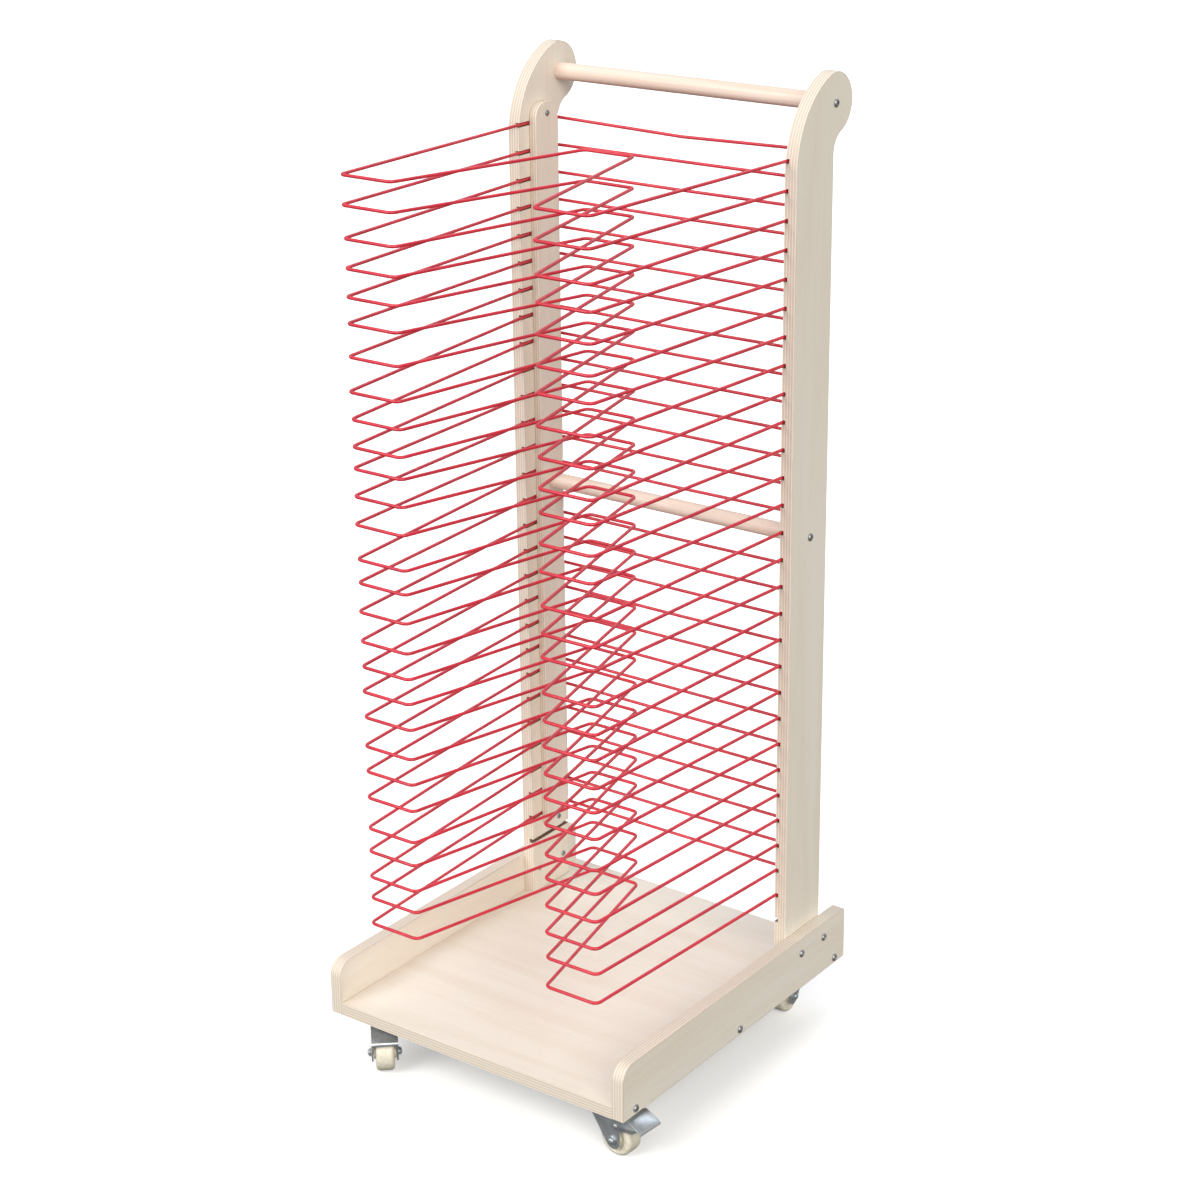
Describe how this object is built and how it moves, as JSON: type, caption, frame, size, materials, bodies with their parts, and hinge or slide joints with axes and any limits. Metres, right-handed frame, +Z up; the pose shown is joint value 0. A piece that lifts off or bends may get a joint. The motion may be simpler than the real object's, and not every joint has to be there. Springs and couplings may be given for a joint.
{
  "type": "art drying rack",
  "caption": "Mobile art drying rack: a tower of bent wire shelves with two prongs each, clamped in grooved plywood posts with a dowel handle, on a caster tray base.",
  "frame": {"origin": "on the floor below the middle of the bounding box", "axes": "X to the right seen from the open front, Y from the front to the posts at the back, Z up"},
  "size_m": [0.509, 0.5478, 1.3217],
  "materials": {
    "birch_ply": "clear satin lacquer over pale birch plywood, with the plies showing on the edges",
    "beech": "clear satin lacquer over pinkish beech dowel",
    "red_wire": "smooth semi-gloss coral red powder coat over steel wire",
    "zinc_steel": "bright zinc plate over pressed steel",
    "caster_wheel": "moulded cream nylon, smooth tread"
  },
  "bodies": {
    "frame": {"base_board": "birch_ply", "side_board_left": "birch_ply", "post_left": "birch_ply", "clamp_strip_left": "birch_ply", "side_board_right": "birch_ply", "post_right": "birch_ply", "clamp_strip_right": "birch_ply", "handle_dowel": "beech", "cross_dowel": "beech", "shelf_28": "red_wire", "shelf_27": "red_wire", "shelf_26": "red_wire", "shelf_25": "red_wire", "shelf_24": "red_wire", "shelf_23": "red_wire", "shelf_22": "red_wire", "shelf_21": "red_wire", "shelf_20": "red_wire", "shelf_19": "red_wire", "shelf_18": "red_wire", "shelf_17": "red_wire", "shelf_16": "red_wire", "shelf_15": "red_wire", "shelf_14": "red_wire", "shelf_13": "red_wire", "shelf_12": "red_wire", "shelf_11": "red_wire", "shelf_10": "red_wire", "shelf_09": "red_wire", "shelf_08": "red_wire", "shelf_07": "red_wire", "shelf_06": "red_wire", "shelf_05": "red_wire", "shelf_04": "red_wire", "shelf_03": "red_wire", "shelf_02": "red_wire", "shelf_01": "red_wire", "caster_front_right_plate": "zinc_steel", "caster_front_right_kingpin": "zinc_steel", "caster_front_left_plate": "zinc_steel", "caster_front_left_kingpin": "zinc_steel", "caster_back_right_plate": "zinc_steel", "caster_back_right_kingpin": "zinc_steel", "caster_back_left_plate": "zinc_steel", "caster_back_left_kingpin": "zinc_steel"},
    "front_right_swivel_body": {"caster_front_right_fork": "zinc_steel", "caster_front_right_axle": "zinc_steel"},
    "front_right_roller_body": {"caster_front_right_wheel": "caster_wheel"},
    "front_right_pedal_body": {"caster_front_right_brake": "zinc_steel"},
    "front_left_swivel_body": {"caster_front_left_fork": "zinc_steel", "caster_front_left_axle": "zinc_steel"},
    "front_left_roller_body": {"caster_front_left_wheel": "caster_wheel"},
    "back_right_swivel_body": {"caster_back_right_fork": "zinc_steel", "caster_back_right_axle": "zinc_steel"},
    "back_right_roller_body": {"caster_back_right_wheel": "caster_wheel"},
    "back_left_swivel_body": {"caster_back_left_fork": "zinc_steel", "caster_back_left_axle": "zinc_steel"},
    "back_left_roller_body": {"caster_back_left_wheel": "caster_wheel"},
    "back_left_pedal_body": {"caster_back_left_brake": "zinc_steel"}
  },
  "joints": [
    {"name": "front_right_swivel", "type": "hinge", "parent": "frame", "child": "front_right_swivel_body", "pos_m": [0.17551, -0.22469, 0.0637], "axis": [0, 0, 1], "continuous": true},
    {"name": "front_right_wheel_spin", "type": "hinge", "parent": "front_right_swivel_body", "child": "front_right_roller_body", "pos_m": [0.20341, -0.22713, 0.025], "axis": [0.0872, 0.9962, 0], "continuous": true},
    {"name": "front_right_brake_press", "type": "hinge", "parent": "front_right_swivel_body", "child": "front_right_pedal_body", "pos_m": [0.21038, -0.22774, 0.049], "axis": [0.0872, 0.9962, 0], "range_deg": [0, 10]},
    {"name": "front_left_swivel", "type": "hinge", "parent": "frame", "child": "front_left_swivel_body", "pos_m": [-0.19649, -0.22469, 0.0637], "axis": [0, 0, 1], "continuous": true},
    {"name": "front_left_wheel_spin", "type": "hinge", "parent": "front_left_swivel_body", "child": "front_left_roller_body", "pos_m": [-0.17775, -0.2455, 0.025], "axis": [0.7431, 0.6691, 0], "continuous": true},
    {"name": "back_right_swivel", "type": "hinge", "parent": "frame", "child": "back_right_swivel_body", "pos_m": [0.17551, 0.22831, 0.0637], "axis": [0, 0, 1], "continuous": true},
    {"name": "back_right_wheel_spin", "type": "hinge", "parent": "back_right_swivel_body", "child": "back_right_roller_body", "pos_m": [0.17747, 0.20038, 0.025], "axis": [0.9976, 0.0698, 0], "continuous": true},
    {"name": "back_left_swivel", "type": "hinge", "parent": "frame", "child": "back_left_swivel_body", "pos_m": [-0.19649, 0.22831, 0.0637], "axis": [0, 0, 1], "continuous": true},
    {"name": "back_left_wheel_spin", "type": "hinge", "parent": "back_left_swivel_body", "child": "back_left_roller_body", "pos_m": [-0.17018, 0.23789, 0.025], "axis": [-0.342, 0.9397, 0], "continuous": true},
    {"name": "back_left_brake_press", "type": "hinge", "parent": "back_left_swivel_body", "child": "back_left_pedal_body", "pos_m": [-0.1636, 0.24028, 0.049], "axis": [-0.342, 0.9397, 0], "range_deg": [0, 10]}
  ]
}
